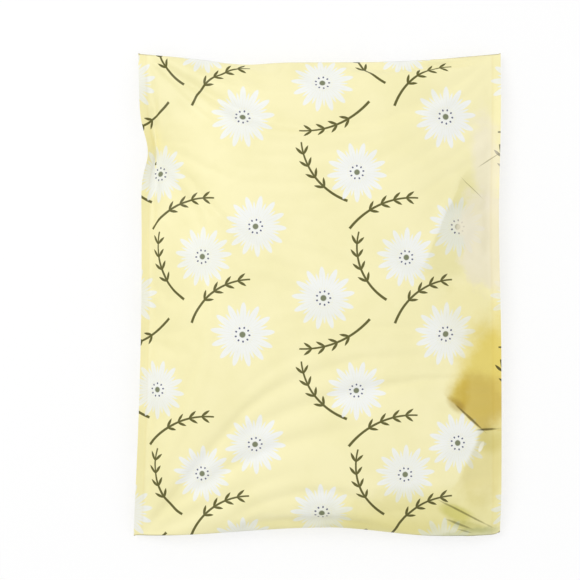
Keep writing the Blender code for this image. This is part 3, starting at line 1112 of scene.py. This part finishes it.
film_x = new_node(film_tree, "ShaderNodeSeparateXYZ", Vector=film_place).outputs["X"]
to_rim = math_node(film_tree, "SUBTRACT", flat_width / 2, math_node(film_tree, "ABSOLUTE", film_x))
on_weld = fading(film_tree, to_rim, WELD_WIDTH, WELD_SOFTNESS)
from_edge = math_node(film_tree, "ABSOLUTE", math_node(film_tree, "SUBTRACT", to_rim, WELD_WIDTH))
on_weld_edge = fading(film_tree, from_edge, WELD_EDGE_WIDTH, WELD_EDGE_WIDTH)
mottle = film_noise(film_tree, film_place, MOTTLE_SIZE, 5.0)
cloudy = ramp(film_tree, mottle, MOTTLE_LOW, MOTTLE_HIGH)
colour = tinted(film_tree, cloudy, colour, MOTTLE)
colour = tinted(film_tree, on_weld, colour, WELD_TINT)
colour = tinted(film_tree, on_weld_edge, colour, WELD_EDGE_SHADE)
film_tree.links.new(colour, film_shader.inputs["Base Color"])

dull = film_noise(film_tree, film_place, GLOSS_SIZE, 3.0)
roughness = math_node(film_tree, "MULTIPLY_ADD", dull, ROUGHNESS_SPREAD, SMOOTHEST)
film_tree.links.new(roughness, film_shader.inputs["Roughness"])
film_shader.inputs["Specular IOR Level"].default_value = 0.42
crinkle = film_noise(film_tree, film_place, CRINKLE_SIZE, 4.0, "RIDGED_MULTIFRACTAL")
depth = math_node(film_tree, "MULTIPLY", crinkle, CRINKLE_DEPTH)
bump = new_node(film_tree, "ShaderNodeBump", Height=depth, Distance=1.0)
film_tree.links.new(bump.outputs[0], film_shader.inputs["Normal"])


# Floor, light and camera.
# The bag lies on a plain white floor under soft light, and the camera looks straight down on it.
PIXELS = 580
BAG_MIDDLE_PX = (317.0, 294.5)
BAG_WIDTH_PX = 367.0
CAMERA_HEIGHT = 1.6
CORNER_HEIGHT = 4 * MM
SENSOR_WIDTH = 36.0
FLOOR_GAP = 0.2 * MM
FLOOR_SIZE = 4.0
FLOOR_WHITE = 0.7
# Each is a name, a place, the side of the square and the power in watts.
SOFT_BOXES = [("key_light", (-0.9, 0.7, 1.5), 1.2, 11.0), ("fill_light", (1.2, -0.5, 1.4), 1.4, 3.0)]

metres_per_pixel = filled_width / BAG_WIDTH_PX
view_middle = (
    (PIXELS / 2 - BAG_MIDDLE_PX[0]) * metres_per_pixel,
    (BAG_MIDDLE_PX[1] - PIXELS / 2) * metres_per_pixel,
)
camera_data = bpy.data.cameras.new("camera")
camera_data.sensor_width = SENSOR_WIDTH
camera_data.lens = SENSOR_WIDTH * CAMERA_HEIGHT / (PIXELS * metres_per_pixel)
camera = add_object("camera", camera_data)
camera.location = (*view_middle, CAMERA_HEIGHT + CORNER_HEIGHT)
bpy.context.scene.camera = camera


def white_to_camera(tree, shader, share):
    """Mixes in plain white for what the camera, glossy and clear surfaces see."""
    path = tree.nodes.new("ShaderNodeLightPath").outputs
    seen = math_node(tree, "MAXIMUM", path["Is Camera Ray"], path["Is Glossy Ray"])
    seen = math_node(tree, "MAXIMUM", seen, path["Is Transmission Ray"])
    white = tree.nodes.new("ShaderNodeEmission")
    mix = tree.nodes.new("ShaderNodeMixShader")
    tree.links.new(math_node(tree, "MULTIPLY", seen, share), mix.inputs[0])
    tree.links.new(shader, mix.inputs[1])
    tree.links.new(white.outputs[0], mix.inputs[2])
    return mix.outputs[0]


floor_mesh = bpy.data.meshes.new("floor")
floor_form = bmesh.new()
below_film = Matrix.Translation((0, 0, -FLOOR_GAP))
bmesh.ops.create_grid(floor_form, x_segments=1, y_segments=1, size=FLOOR_SIZE, matrix=below_film)
floor_form.to_mesh(floor_mesh)
floor_form.free()
floor = add_object("floor", floor_mesh)
floor_paint = bpy.data.materials.new("white_floor")
floor_paint.use_nodes = True
floor_tree = floor_paint.node_tree
floor_shader = floor_tree.nodes["Principled BSDF"]
floor_shader.inputs["Base Color"].default_value = (1.0, 1.0, 1.0, 1.0)
floor_shader.inputs["Roughness"].default_value = 0.9
floor_tree.links.new(
    white_to_camera(floor_tree, floor_shader.outputs[0], FLOOR_WHITE),
    floor_tree.nodes["Material Output"].inputs["Surface"],
)
floor_mesh.materials.append(floor_paint)

world = bpy.data.worlds.new("white_room")
bpy.context.scene.world = world
world.use_nodes = True
room_tree = world.node_tree
room_light = room_tree.nodes["Background"]
room_light.inputs["Color"].default_value = (1.0, 1.0, 1.0, 1.0)
room_light.inputs["Strength"].default_value = 0.72
room_path = room_tree.nodes.new("ShaderNodeLightPath").outputs
room_white = room_tree.nodes.new("ShaderNodeBackground")
room_mix = room_tree.nodes.new("ShaderNodeMixShader")
room_seen = math_node(room_tree, "MAXIMUM", room_path["Is Camera Ray"], room_path["Is Transmission Ray"])
room_tree.links.new(room_seen, room_mix.inputs[0])
room_tree.links.new(room_light.outputs[0], room_mix.inputs[1])
room_tree.links.new(room_white.outputs[0], room_mix.inputs[2])
room_tree.links.new(room_mix.outputs[0], room_tree.nodes["World Output"].inputs["Surface"])

for name, place, size, power in SOFT_BOXES:
    light_data = bpy.data.lights.new(name, "AREA")
    light_data.size = size
    light_data.energy = power
    light = add_object(name, light_data)
    light.location = place
    light.rotation_euler = (-Vector(place)).to_track_quat("-Z", "Y").to_euler()

bpy.context.scene.view_settings.view_transform = "Standard"
